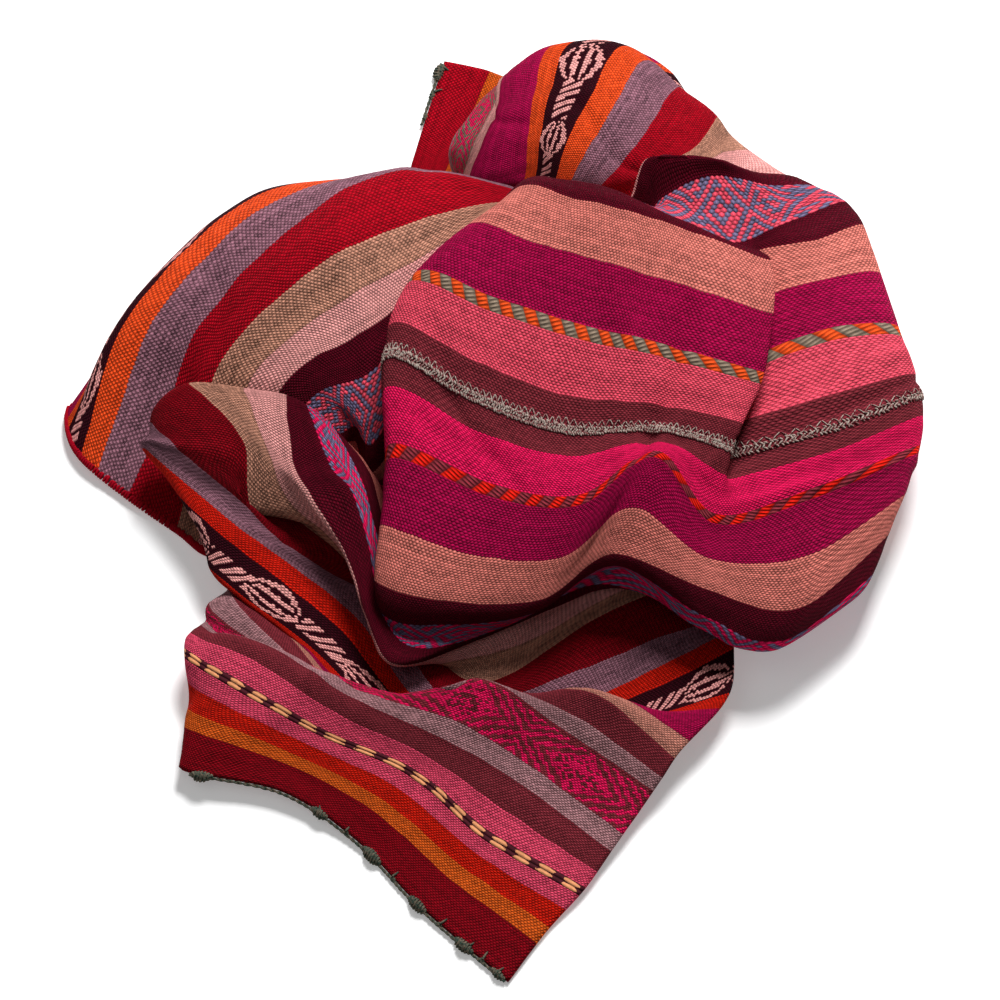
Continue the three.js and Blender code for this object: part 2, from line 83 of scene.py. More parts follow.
# Valley behind the flap, climbing at the left to the small lobe
valleyRows = [
    dict(across=30.6, end=(66.2, 77.6, 2.3), lobe=(57.4, 71.4, 4.3), crease=(49.6, 69, 4.6),
         bump=(41.2, 70.6, 3), saddle=(32.8, 68.4, 2.3), centre=(27.2, 63.8, 2.7),
         fold=(23.6, 59.9, 2.9), tuck=(23.6, 58.2, 1.6), dome=(30.4, 54.8, 0.4), tip=(36.6, 47.2, 0.4)),
    dict(across=35, end=(67.8, 75.2, 2.8), lobe=(59.6, 69, 5.3), crease=(51.8, 70.5, 2.8),
         bump=(43, 72, 2.2), saddle=(34.5, 69.4, 1.8), centre=(29.4, 63.8, 1.6), fold=(25.4, 59.6, 1.7),
         tuck=(24, 57.6, 1.8), dome=(29, 54, 0.9), brow=(33, 50.5, 0.9), tip=(35.5, 47, 0.9)),
    dict(across=43.8, end=(72.8, 69.2, 3.2), lobe=(64.5, 71.8, 1.6), crease=(55.8, 73, 1.2),
         bump=(46.4, 73.6, 1.2), saddle=(38, 71, 1.2), centre=(31.2, 64.7, 1.6),
         fold=(24.2, 59.5, 3.2), tuck=(20.9, 56.4, 3.6), dome=(23.5, 55, 2.6), tip=(27, 53, 2.2)),
    dict(across=50.8, end=(73.5, 63, 2.4), lobe=(65, 67.2, 1.7), crease=(57.5, 70.4, 1),
         bump=(49.5, 71.4, 0.95), saddle=(42, 70.3, 0.95), centre=(35.8, 62.2, 1.2),
         fold=(28.5, 56.2, 2.8), tuck=(23, 52.2, 4.8), dome=(15, 45.2, 5.2), brow=(16.4, 45.8, 3.6),
         tip=(21.5, 46.4, 3.2)),
    dict(across=55, end=(75.1, 60.9, 2.1), lobe=(66.5, 63.1, 2.1), crease=(58.3, 66.4, 1.5),
         bump=(50.2, 69.5, 1.1), saddle=(44.1, 69.2, 1), centre=(38.6, 60.6, 1.2), fold=(32.8, 57, 2.2),
         tuck=(27.8, 53.6, 3.5), crook=(25, 50.6, 5), dome=(19.2, 45.5, 6.5), brow=(15.3, 41.8, 6),
         tip=(17, 43, 4.2)),
    dict(across=59.8, end=(77, 58.5, 1.8), lobe=(68.3, 58.5, 2.6), crease=(59.4, 62, 2.1),
         bump=(51.2, 67.4, 1.3), saddle=(46.6, 68, 1.1), centre=(42.6, 64, 1.1), fold=(37.8, 57.6, 1.8),
         tuck=(29.2, 51.8, 3.3), crook=(25.1, 50.9, 4.8), dome=(24.4, 44.4, 7.7), brow=(18.8, 38.6, 7.8),
         tip=(21, 42.4, 5.2)),
    dict(across=64.7, end=(80, 58.2, 2.4), lobe=(71.6, 57.3, 4.1), crease=(63.2, 58, 3.9),
         bump=(54.8, 62.3, 2.7), saddle=(47.3, 65, 2), centre=(40.4, 66.2, 2.3), fold=(37.3, 61.4, 3),
         tuck=(35, 55.2, 4.4), crook=(30.4, 50.1, 6), dome=(28, 46.4, 7.6), brow=(26.2, 39.2, 8.6),
         tip=(27.4, 42.8, 6)),
    dict(across=66.3, end=(81, 58, 2.6), lobe=(72.8, 56.8, 4.6), crease=(64.5, 56.5, 4.6),
         bump=(56, 60.5, 3.2), saddle=(47.5, 64, 2.3), centre=(39.5, 66.4, 3.5),
         fold=(36.6, 61.5, 4.4), tuck=(34.3, 55, 5.8), crook=(31.2, 50.2, 6.9), dome=(29.2, 46.8, 7.7),
         brow=(28.4, 39.6, 8.8), tip=(29.4, 43, 6.4)),
    dict(across=70.3, end=(81.8, 59.4, 2), lobe=(75.2, 61.2, 4.6), crease=(67.5, 60, 5.4),
         bump=(59.2, 58.4, 5), saddle=(50.5, 62.5, 3.6), centre=(42.2, 64.8, 3.6), fold=(38.3, 61.6, 4.2),
         tuck=(36.9, 54.6, 5.9), crook=(35.2, 49.2, 7.2), dome=(33.2, 46.9, 7.5), brow=(30.7, 40.6, 8.5),
         tip=(31.4, 43.8, 6.1)),
    dict(across=73.5, end=(82.5, 60.5, 1.8), rim=(85, 60, 4.4), lobe=(77, 64.9, 4.6),
         crease=(69.8, 62.6, 5.8), bump=(61.5, 56.8, 6.4), saddle=(52.5, 61.5, 4.6),
         centre=(44, 63.5, 3.6), fold=(39, 62.6, 3.6), tuck=(37.6, 56, 5.2), dome=(35, 48, 6.8),
         brow=(32.2, 41.8, 7.8), tip=(33, 44.5, 5.6)),
]

# The large lump and its right lobe, tucked under at the left
lumpRows = [
    dict(across=80.3, end=(84.5, 55.6, 0), rim=(88.6, 53.6, 4.6), lobe=(80, 60.8, 7),
         crease=(70.5, 59, 8), bump=(61.3, 55.5, 8.6), saddle=(54, 60, 6.8), centre=(44.5, 60.2, 6.6),
         fold=(37.9, 58.4, 6.4), tuck=(38.7, 55.6, 4.6), dome=(37, 47.8, 5),
         brow=(33.4, 43, 6), tip=(33.6, 45, 4.7)),
    dict(across=90.8, end=(86.5, 48, 0), rim=(91.5, 45.4, 5.4), lobe=(82, 49.6, 9.4),
         crease=(71.3, 52.4, 9.4), bump=(65.4, 45.8, 12.8), saddle=(58, 50.6, 10.8),
         centre=(49.5, 49.9, 9.8), fold=(39.4, 45.9, 9.6), tuck=(38.9, 49.8, 5.2),
         dome=(38, 48.7, 2.8), brow=(34, 44.4, 4), tip=(34, 45.4, 4)),
    dict(across=100.3, end=(86.6, 43.5, 0), rim=(92, 39.6, 5.8), lobe=(83.4, 42.8, 10),
         under=(73, 45.4, 9.4), crease=(72.8, 44.8, 11.2), bump=(66.2, 43, 11.4),
         saddle=(56.5, 43, 11), centre=(47.5, 39.8, 11.4), fold=(38.8, 35.4, 10.8),
         tuck=(39.4, 43.6, 5.8), dome=(38.6, 49.2, 1.2), brow=(34.4, 45, 2.6), tip=(34, 45.8, 3.4)),
    dict(across=109.8, end=(84.6, 38, 0), rim=(89.8, 32.8, 6), lobe=(82.4, 33, 10),
         under=(74.6, 36.2, 10), crease=(76.2, 37.2, 12.2), bump=(67, 34.6, 13),
         saddle=(58.5, 32.6, 13.2), centre=(49.5, 29.8, 13.4), fold=(41.8, 27.2, 12),
         tuck=(41.2, 34.6, 7.2), dome=(38.8, 48, 1.5), brow=(34.8, 44.8, 2.4), tip=(33, 46, 2.9)),
    dict(across=120.3, end=(81.6, 30, 0), rim=(86.4, 22.6, 6.2), lobe=(81.4, 24, 9.8),
         under=(75.6, 25, 10.2), crease=(76.8, 26, 12.4), bump=(69.5, 23.2, 14.2),
         saddle=(63.5, 21.2, 14.8), centre=(57.5, 19.8, 14.8), fold=(51.8, 18.9, 13.2),
         tuck=(48.5, 25.5, 9), dome=(38.2, 46.2, 2.9), brow=(35.4, 44, 3), tip=(31.4, 46.6, 2.6)),
]

# Behind the crest: the curl at the right, the big left lobe and its end
backRows = [
    dict(across=124.3, end=(80, 28, 0.6), rim=(84.8, 20.4, 6.2), lobe=(79.4, 22, 9.2),
         crease=(72.8, 24.2, 10.4), bump=(66.5, 21.4, 11.8), saddle=(61, 19, 13),
         centre=(56.5, 18.2, 13), fold=(51.6, 18.6, 11.2), tuck=(46.4, 26.4, 8.7),
         dome=(38, 43.4, 4.5), brow=(35.2, 42.6, 4.2), tip=(28.8, 48, 2)),
    dict(across=130.3, end=(78, 25.5, 1.4), rim=(82, 19.2, 6.6), lobe=(77, 18.6, 10),
         crease=(71.3, 17.6, 11.6), bump=(66.4, 19.7, 10.8), saddle=(63.4, 23, 8.6),
         centre=(56.5, 22.2, 8.4), fold=(51, 20.4, 8.8), tuck=(44.5, 27.4, 8.5), dome=(37.4, 37, 7),
         brow=(31.2, 39.8, 6), brim=(27.6, 46, 2.8), tip=(25, 51.4, 1.1)),
    dict(across=132.4, end=(77.2, 24.2, 1.9), rim=(80.4, 18.3, 6.9), lobe=(75.4, 17.2, 10.6),
         crease=(70.8, 15.7, 12.7), bump=(65.8, 16.1, 12.6), saddle=(63.2, 20.6, 10),
         centre=(55.6, 22, 8.1), fold=(50.8, 20.6, 8.2), tuck=(43.4, 27.8, 8.4), dome=(36.8, 34.8, 7.8),
         brow=(29.8, 38.8, 6.4), brim=(26, 46, 2.5), tip=(23.1, 53.4, 0.7)),
    dict(across=134.3, end=(76.5, 23, 2.4), rim=(79, 17.8, 7), lobe=(74.6, 17.4, 9.8),
         crease=(70.3, 16.9, 11), bump=(64.9, 15.9, 12.6), saddle=(62.5, 20.5, 10),
         centre=(55, 21.6, 7.6), fold=(50.6, 20.6, 7.8), tuck=(42.4, 28.2, 8.4),
         dome=(36.4, 32.8, 8.4), brow=(28.6, 37.8, 6.8), brim=(24.4, 46, 2.2), tip=(21.2, 55.4, 0.4)),
    dict(across=140.8, end=(68.5, 13.4, 3.8), lobe=(71.6, 11.6, 7), crease=(69.4, 14.7, 8.2),
         bump=(65.6, 17.2, 8.2), saddle=(61, 21.5, 6.2), centre=(55.5, 21.8, 6),
         fold=(50.4, 20.2, 7), tuck=(42, 21.8, 9.2), dome=(31.6, 26.6, 9.8), brow=(21.8, 36.4, 5.4),
         brim=(19.6, 44.5, 1.9), tip=(17.6, 53, 0.4)),
    dict(across=146.3, end=(69, 11.4, 3.4), lobe=(67.6, 8.6, 6.8), crease=(64.6, 12.8, 8.8),
         bump=(61.2, 17.2, 8.8), saddle=(58, 19.8, 7), centre=(54.3, 20.4, 6.4),
         fold=(50.2, 18.6, 6.8), tuck=(40, 17, 8.7), dome=(29, 22.8, 8.8), brow=(19.6, 32.8, 5.4),
         brim=(16.6, 40.6, 2.2), tip=(12.6, 49.6, 0.5)),
    dict(across=152.3, end=(69, 9.8, 3), lobe=(62.2, 4.4, 7), crease=(58.8, 9.6, 9.2),
         bump=(56.4, 14.4, 9.4), saddle=(55.2, 18.6, 7.2), centre=(53, 19.4, 5.6),
         fold=(48.5, 18.3, 5.2), tuck=(39.4, 18, 5.2), dome=(25.4, 19.6, 4.2), brow=(12.9, 31.5, 3.8),
         tip=(7.9, 45.6, 0.9)),
]

# Top lobe, its rolled edge and the corner that shows behind it
cornerRows = [
    dict(across=159.3, end=(66, 6, 2.7), lobe=(55.4, 4.4, 7.2), crease=(53.2, 9.4, 8.6),
         bump=(52.6, 14, 8.2), saddle=(52.2, 18, 6.2), centre=(50.6, 19, 4.8), fold=(46.8, 18.6, 4.6),
         tuck=(39.6, 18.8, 3.8), dome=(25.6, 20.4, 2.6), brow=(13.2, 32.3, 2.2), tip=(6.6, 42, 0.7)),
    dict(across=163.8, end=(61, 4.4, 2.6), lobe=(51.6, 6.6, 7), crease=(50.3, 10.5, 8),
         bump=(48.8, 14.5, 7.6), saddle=(47.8, 18.4, 5.6), centre=(48.2, 19.6, 3.5),
         fold=(45.2, 19.9, 2.9), tuck=(39.8, 20.1, 2), dome=(25.8, 21.8, 1.4), brow=(13.7, 33, 1),
         tip=(7.4, 40.4, 0.5)),
    dict(across=172.8, end=(55, 10.2, 2.2), lobe=(50.4, 8, 6.6), crease=(49.2, 11, 7.4),
         bump=(47.2, 14.8, 7), saddle=(46.2, 18.6, 4.2), centre=(46.9, 20.6, 2.2),
         fold=(43.6, 22.6, 1), tuck=(40, 24, 0), dome=(29, 26.5, 0), brow=(19.5, 34.5, 0),
         tip=(11.5, 41.5, 0)),
    dict(across=180, end=(54.4, 9.6, 1.2), lobe=(50.6, 8.6, 5.2), crease=(46.8, 11.7, 5.6),
         bump=(45, 15.2, 4.8), saddle=(46.6, 19.6, 2.4), centre=(48.3, 23.4, 0.9), fold=(45, 27, 0),
         tuck=(41, 29.5, 0), dome=(32, 31, 0), brow=(25, 36.5, 0), tip=(16.5, 42, 0)),
    dict(across=188, end=(53, 8.6, 0.5), lobe=(50, 12, 1), crease=(48.2, 15.6, 1.3),
         bump=(46.6, 18, 1.6), saddle=(47.2, 22.5, 0.6), centre=(49.5, 27, 0), fold=(47.5, 32, 0),
         tuck=(42.5, 34.5, 0), dome=(35.5, 35.5, 0), brow=(29.5, 38.5, 0), tip=(22, 42.5, 0)),
    dict(across=195.9, end=(48.8, 6.8, 0.4), lobe=(45.4, 14.6, 0.3), crease=(44, 17.8, 0.3),
         bump=(43, 19.6, 0.5), saddle=(45.4, 23.8, 0), centre=(49.2, 30, 0), fold=(49.5, 36.5, 0),
         tuck=(45, 40.5, 0), dome=(38.5, 41, 0), brow=(33, 40.6, 0), tip=(28, 43, 0)),
    dict(across=200.6, end=(44.4, 5.9, 0.4), lobe=(41.6, 14.6, 0.4), crease=(40.9, 17.4, 0),
         bump=(40.8, 19.6, 0), saddle=(43.6, 24.2, 0), centre=(48, 31, 0), fold=(50, 38.4, 0),
         tuck=(47, 43.5, 0), dome=(41.5, 43.6, 0), brow=(37, 43, 0), tip=(32, 43.8, 0)),
]

rows = flapRows + valleyRows + lumpRows + backRows + cornerRows
acrosses = np.array([row["across"] for row in rows], float)


def place(spot):
    # From the leaning table to the floor
    right, down, rise = spot
    step, lean = cloth["step"], cloth["lean"]
    x = (right - cloth["tableMiddle"][0]) * step
    z = rise * step
    y = ((cloth["tableMiddle"][1] - down) * step - z * math.cos(lean)) / math.sin(lean)
    return (x - cloth["heapMiddle"][0], y - cloth["heapMiddle"][1], z)


def smoothLine(points, marks, spots):
    # A smooth line through points, read at spots
    count = len(marks)
    before = np.maximum(np.arange(count) - 1, 0)
    after = np.minimum(np.arange(count) + 1, count - 1)
    wide = (slice(None),) + (None,) * (points.ndim - 1)
    slope = (points[after] - points[before]) / (marks[after] - marks[before])[wide]
    i = np.clip(np.searchsorted(marks, spots, side="left") - 1, 0, count - 2)
    span = marks[i + 1] - marks[i]
    s = ((spots - marks[i]) / span)[wide]
    span = span[wide]
    return (points[i] * (2 * s**3 - 3 * s**2 + 1) + slope[i] * span * (s**3 - 2 * s**2 + s)
            + points[i + 1] * (3 * s**2 - 2 * s**3) + slope[i + 1] * span * (s**3 - s**2))


def clothPoints(alongSpots, acrossSpots):
    crossing = []
    for row in rows:
        names = [name for name in stations if name in row]
        marks = np.array([stations[name] for name in names], float)
        points = np.array([place(row[name]) for name in names], float)
        crossing.append(smoothLine(points, marks, alongSpots))
    return smoothLine(np.array(crossing), acrosses, acrossSpots)


# Soft creases: start and finish are (across, along) in table steps, width and height
# are in mm, and a trough has a height below nought
creases = [
    # Flap
    dict(start=(2, 20), finish=(31, 27), width=9, height=-2.2),
    dict(start=(4, 39), finish=(29, 33), width=9, height=2),
    dict(start=(7, 8), finish=(31, 12), width=7, height=1.4),
    dict(start=(9, 46), finish=(27, 54), width=7, height=-1.6),
    dict(start=(14, 29), finish=(24, 32), width=5, height=1.2),
    # Small lobe
    dict(start=(50, 84), finish=(60, 78), width=6, height=1.6),
    dict(start=(52, 66), finish=(64, 71), width=5, height=-1.6),
    dict(start=(67, 66), finish=(69, 90), width=5, height=-1.4),
    # Large lump and right lobe
    dict(start=(117, 42), finish=(105, 33), width=9, height=1.6),
    dict(start=(108, 60), finish=(93, 50), width=7, height=-1.5),
    dict(start=(98, 30), finish=(84, 37), width=8, height=-1.8),
    dict(start=(103, 6), finish=(98, 21), width=4, height=-2.8),
    dict(start=(106, 7), finish=(102, 22), width=4, height=1.6),
    dict(start=(90, 5), finish=(94, 21), width=6, height=2),
    dict(start=(112, 12), finish=(99, 16), width=6, height=-1.4),
    dict(start=(96, 25), finish=(103, 24), width=4, height=1.6),
    dict(start=(113, 31), finish=(92, 34), width=5, height=-3.6),
    dict(start=(110, 36), finish=(96, 38), width=5, height=1.6),
    # Large left lobe
    dict(start=(151, 86), finish=(135, 98), width=8, height=-1.8),
    dict(start=(148, 73), finish=(131, 82), width=9, height=1.8),
    dict(start=(150, 66), finish=(140, 71), width=5, height=-1.5),
    # Top lobe
    dict(start=(153, 25), finish=(140, 33), width=5, height=-2.4),
    dict(start=(172, 20), finish=(160, 29), width=5, height=-1.6),
]


def creaseHeight(across, along):
    # Height of all creases over the cloth, in metres
    total = np.zeros(across.shape)
    step = cloth["step"] * 1000
    for crease in creases:
        a, b = np.array(crease["start"], float), np.array(crease["finish"], float)
        line = b - a
        length = np.hypot(*line)
        du, dv = across - a[0], along - a[1]
        travel = (du * line[0] + dv * line[1]) / length**2
        inside = np.clip(travel, 0, 1)
        bend = 0.6 * np.sin(travel * 5 + a[0])
        off = ((du * line[1] - dv * line[0]) / length + bend) * step
        past = (travel - inside) * length * step
        fade = 0.35 + 0.65 * np.sin(np.pi * np.clip(0.15 + 0.7 * inside, 0, 1))
        total += crease["height"] * fade * np.exp(-(off**2 + past**2 * 0.6) / crease["width"]**2)
    return total / 1000


def waves(across, along):
    # Slight waviness that keeps the cloth from looking pressed
    total = np.zeros(across.shape)
    for index in np.ndindex(across.shape):
        u, v = across[index], along[index]
        spot = Vector((u * 0.16, v * 0.11, 2.5))
        finer = Vector((u * 0.42, v * 0.3, 7.1))
        total[index] = noise.noise(spot) + 0.5 * noise.noise(finer)
    return total * cloth["waviness"]


def panelSurface(low, high, seamSide):
    # Middle of one panel's cloth as an array of places, with its normals and its span across
    acrossSpots = np.linspace(low, high, cloth["linesAcross"] + 1)
    alongSpots = np.linspace(0, stations["tip"], cloth["linesAlong"] + 1)
    points = clothPoints(alongSpots, acrossSpots)
    floor = cloth["thickness"] / 2
    points[..., 2] = np.maximum(points[..., 2], floor)
    across, along = np.meshgrid(acrossSpots, alongSpots, indexing="ij")
    normals = surfaceNormals(points)
    shift = creaseHeight(across, along) + waves(across, along)
    seamFade = np.clip(np.abs(across - cloth["seamAcross"]) / 1.5, 0, 1)
    points = points + normals * (shift * seamFade)[..., None]
    weft = np.gradient(points, axis=0)
    weft /= np.linalg.norm(weft, axis=2, keepdims=True)
    seamLine = 0 if seamSide > 0 else -1
    points[seamLine] += weft[seamLine] * seamSide * cloth["seamGap"] / 2
    points[..., 2] = np.maximum(points[..., 2], floor)
    return {"points": points, "normals": surfaceNormals(points), "low": low, "high": high}


def surfaceNormals(points):
    weft, warp = np.gradient(points, axis=0), np.gradient(points, axis=1)
    normals = np.cross(weft, warp)
    return normals / np.maximum(np.linalg.norm(normals, axis=2, keepdims=True), 1e-9)


def onCloth(surface, across, along, lift):
    # A place on a panel, lifted from its middle along the normal
    points, normals = surface["points"], surface["normals"]
    share = (across - surface["low"]) / (surface["high"] - surface["low"])
    i = min(max(share, 0), 1) * (points.shape[0] - 1)
    k = min(max(along / stations["tip"], 0), 1) * (points.shape[1] - 1)
    i0, k0 = min(int(i), points.shape[0] - 2), min(int(k), points.shape[1] - 2)
    a, b = i - i0, k - k0
    spot, normal = (
        grid[i0, k0] * (1 - a) * (1 - b) + grid[i0 + 1, k0] * a * (1 - b)
        + grid[i0, k0 + 1] * (1 - a) * b + grid[i0 + 1, k0 + 1] * a * b
        for grid in (points, normals))
    return Vector(spot + normal * lift)


def addObject(name, data):
    item = bpy.data.objects.new(name, data)
    bpy.context.scene.collection.objects.link(item)
    return item


def makePanel(name, surface, material):
    lines, columns = surface["points"].shape[:2]
    bm = bmesh.new()
    bmesh.ops.create_grid(bm, x_segments=columns - 1, y_segments=lines - 1, size=1)
    uv = bm.loops.layers.uv.new("cloth")
    flat = {}  # the flat place of each point: from the panel's selvedge, and along the warp
    for vert in bm.verts:
        k = round((vert.co.x + 1) / 2 * (columns - 1))
        i = round((vert.co.y + 1) / 2 * (lines - 1))
        across = surface["low"] + (surface["high"] - surface["low"]) * i / (lines - 1)
        fromEdge = min(across, 2 * cloth["seamAcross"] - across)
        along = stations["tip"] * k / (columns - 1)
        flat[vert.index] = (fromEdge * cloth["step"], along * cloth["step"])
        vert.co = surface["points"][i, k]
    for face in bm.faces:
        face.smooth = True
        for loop in face.loops:
            loop[uv].uv = flat[loop.vert.index]
    mesh = bpy.data.meshes.new(name)
    bm.to_mesh(mesh)
    bm.free()
    piece = addObject(name, mesh)
    solidify = piece.modifiers.new("clothThickness", "SOLIDIFY")
    solidify.thickness = cloth["thickness"]
    solidify.offset = 0
    mesh.materials.append(material)
    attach(piece, "root")
    return piece


def makeYarns(name, paths, thickness, material):
    # Many short lengths of yarn as one piece; a path is a list of (place, relative radius)
    curve = bpy.data.curves.new(name, "CURVE")
    curve.dimensions = "3D"
    curve.bevel_depth = thickness / 2
    curve.bevel_resolution = 1
    curve.use_fill_caps = True
    curve.resolution_u = 2
    for path in paths:
        spline = curve.splines.new("POLY")
        spline.points.add(len(path) - 1)
        for point, (spot, radius) in zip(spline.points, path):
            point.co = (*spot, 1)
            point.radius = radius
    holder = addObject(name + "Curve", curve)
    bpy.context.view_layer.update()
    shown = holder.evaluated_get(bpy.context.evaluated_depsgraph_get())
    mesh = bpy.data.meshes.new_from_object(shown)
    bpy.data.objects.remove(holder)
    bpy.data.curves.remove(curve)
    mesh.name = name
    for polygon in mesh.polygons:
        polygon.use_smooth = True
    for vert in mesh.vertices:
        vert.co.z = max(vert.co.z, cloth["floorGap"])
    piece = addObject(name, mesh)
    mesh.materials.clear()
    mesh.materials.append(material)
    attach(piece, "root")
    return piece


# Colours as seen, from 0 to 255
shades = {
    # The darker crimson beside crimson is the same crimson darkened: painted shade for the front panel's
    # stripes that lie in shadow
    "crimson": (148, 8, 28), "paintedShadeCrimson": (114, 5, 22), "goldenOrange": (190, 80, 28),
    "redOrange": (178, 28, 14), "orange": (204, 68, 30), "pink": (200, 66, 92), "salmon": (205, 70, 88),
    "maroonBrown": (110, 40, 48), "mauveGrey": (152, 108, 112), "lavender": (122, 83, 95),
    "beige": (166, 116, 97), "lightPink": (205, 138, 134), "darkMaroon": (76, 5, 26),
    "tanPink": (174, 112, 98), "peach": (196, 108, 98), "magenta": (146, 12, 62),
    "hotPink": (200, 24, 76), "olive": (112, 98, 84),
    "chainRed": (186, 28, 18), "slate": (98, 90, 118), "chainPeach": (196, 132, 92),
    "darkBrown": (64, 28, 34), "blackMaroon": (46, 8, 20), "edgingGreen": (50, 68, 60),
    "overcastRed": (150, 12, 34), "ropeOrange": (188, 66, 28), "paleWool": (168, 155, 145),
}


def shade(name):
    return tuple((value / 255) ** 2.2 for value in shades[name]) + (1,)


# Stripes from the long selvedge to the seam: width in mm, colour on the front and on the back
# panel, and how much the tones of their yarns differ
stripes = [
    # Front: crimson darkened as painted shade
    dict(width=27.3, front="paintedShadeCrimson", back="crimson"),
    dict(width=12.8, front="goldenOrange", back="goldenOrange"),
    dict(width=12.8, front="redOrange", back="redOrange"),
    dict(width=14.5, front="pink", back="pink"),
    dict(width=7.0, front="pink", back="pink"),
    dict(width=14.5, front="pink", back="pink"),
    dict(width=20.3, front="maroonBrown", back="maroonBrown"),
    dict(width=17.4, front="mauveGrey", back="mauveGrey", heather=0.45),
    dict(width=34.8, front="maroonBrown", back="olive", heather=0.42),
    dict(width=14.5, front="mauveGrey", back="lightPink", heather=0.42),
    dict(width=20.3, front="maroonBrown", back="lightPink"),
    dict(width=17.4, front="tanPink", back="magenta"),
    dict(width=26.1, front="magenta", back="magenta"),
    dict(width=14.5, front="redOrange", back="orange"),
    dict(width=26.1, front="blackMaroon", back="blackMaroon"),
    dict(width=14.5, front="redOrange", back="orange"),
    dict(width=20.3, front="lavender", back="lavender", heather=0.45),
    # Front: crimson darkened as painted shade
    dict(width=31.9, front="paintedShadeCrimson", back="crimson"),
    dict(width=20.3, front="beige", back="beige", heather=0.45),
    dict(width=17.4, front="lightPink", back="lightPink", heather=0.26),
    dict(width=23.2, front="darkMaroon", back="darkMaroon"),
    dict(width=34.8, front="darkMaroon", back="darkMaroon", heather=0.42),
    dict(width=23.2, front="darkMaroon", back="darkMaroon"),
    dict(width=29.0, front="peach", back="peach"),
    dict(width=31.9, front="magenta", back="magenta"),
    dict(width=7.5, front="hotPink", back="salmon"),
    dict(width=27.3, front="hotPink", back="salmon"),
    dict(width=20.3, front="maroonBrown", back="maroonBrown"),
]

# Patterned bands: low and high are in mm from the selvedge, the repeat in mm, and the colours are
# those of the figures and of their ground
bands = [
    dict(kind="links", low=67.4, high=74.4, repeat=17, front=("chainPeach", "darkBrown"),
         back=("chainPeach", "darkBrown")),
    dict(kind="diamonds", low=126.6, high=161.4, repeat=88, stretch=1.7, rings=2.5, filled=0.8,
         front=("hotPink", "maroonBrown"), back=("hotPink", "olive")),
    dict(kind="leaves", low=254.2, high=280.3, repeat=80, front=("lightPink", "blackMaroon"),
         back=("lightPink", "blackMaroon")),
    dict(kind="diamonds", low=407.9, high=442.7, repeat=52, stretch=1.1, rings=1.9, long=True,
         front=("hotPink", "slate"), back=("salmon", "slate")),
    dict(kind="rope", low=526.8, high=534.3, repeat=16, front=("chainRed", "maroonBrown"),
         back=("ropeOrange", "olive")),
]

# The weave in metres: ribs and picks of the plain cloth and of the long pattern floats
weave = {
    "yarnPitch": 0.00138,
    "pickPitch": 0.00128,
    "floatPitch": 0.0021,
    "floatPick": 0.0027,
    "wander": 0.0012,
    "heather": 0.32,
    "bumpStrength": 0.8,
    "bumpDistance": 0.0008,
    "fading": 0.25,
    # How strongly the relief darkens the gaps and lightens the float tops in the colour: painted shade and
    # painted highlight
    "paintedShadeAndHighlight": 1.05,
    "fibres": 0.5,
}


def feed(tree, socket, value):
    # A link from another node, or a plain value
    if isinstance(value, bpy.types.NodeSocket):
        tree.links.new(value, socket)
    else:
        socket.default_value = value


def calc(tree, operation, *values):
    node = tree.nodes.new("ShaderNodeMath")
    node.operation = operation
    for socket, value in zip(node.inputs, values):
        feed(tree, socket, value)
    return node.outputs[0]


def addNoise(tree, spots, scale, detail):
    texture = tree.nodes.new("ShaderNodeTexNoise")
    texture.inputs["Scale"].default_value = scale
    texture.inputs["Detail"].default_value = detail
    tree.links.new(spots, texture.inputs["Vector"])
    return texture.outputs["Fac"]


def addBump(tree, shader, height, strength, distance):
    bump = tree.nodes.new("ShaderNodeBump")
    bump.inputs["Strength"].default_value = strength
    bump.inputs["Distance"].default_value = distance
    tree.links.new(height, bump.inputs["Height"])
    tree.links.new(bump.outputs[0], shader.inputs["Normal"])


def newGroup(name, inputs, outputs):
    group = bpy.data.node_groups.new(name, "ShaderNodeTree")
    for label, value in inputs:
        kind = "NodeSocketVector" if value is None else "NodeSocketFloat"
        socket = group.interface.new_socket(name=label, in_out="INPUT", socket_type=kind)
        if value is not None:
            socket.default_value = value
    for label in outputs:
        group.interface.new_socket(name=label, in_out="OUTPUT", socket_type="NodeSocketFloat")
    return group, group.nodes.new("NodeGroupInput").outputs, group.nodes.new("NodeGroupOutput").inputs


alwaysPositive = 4000  # an even number added before a remainder is taken


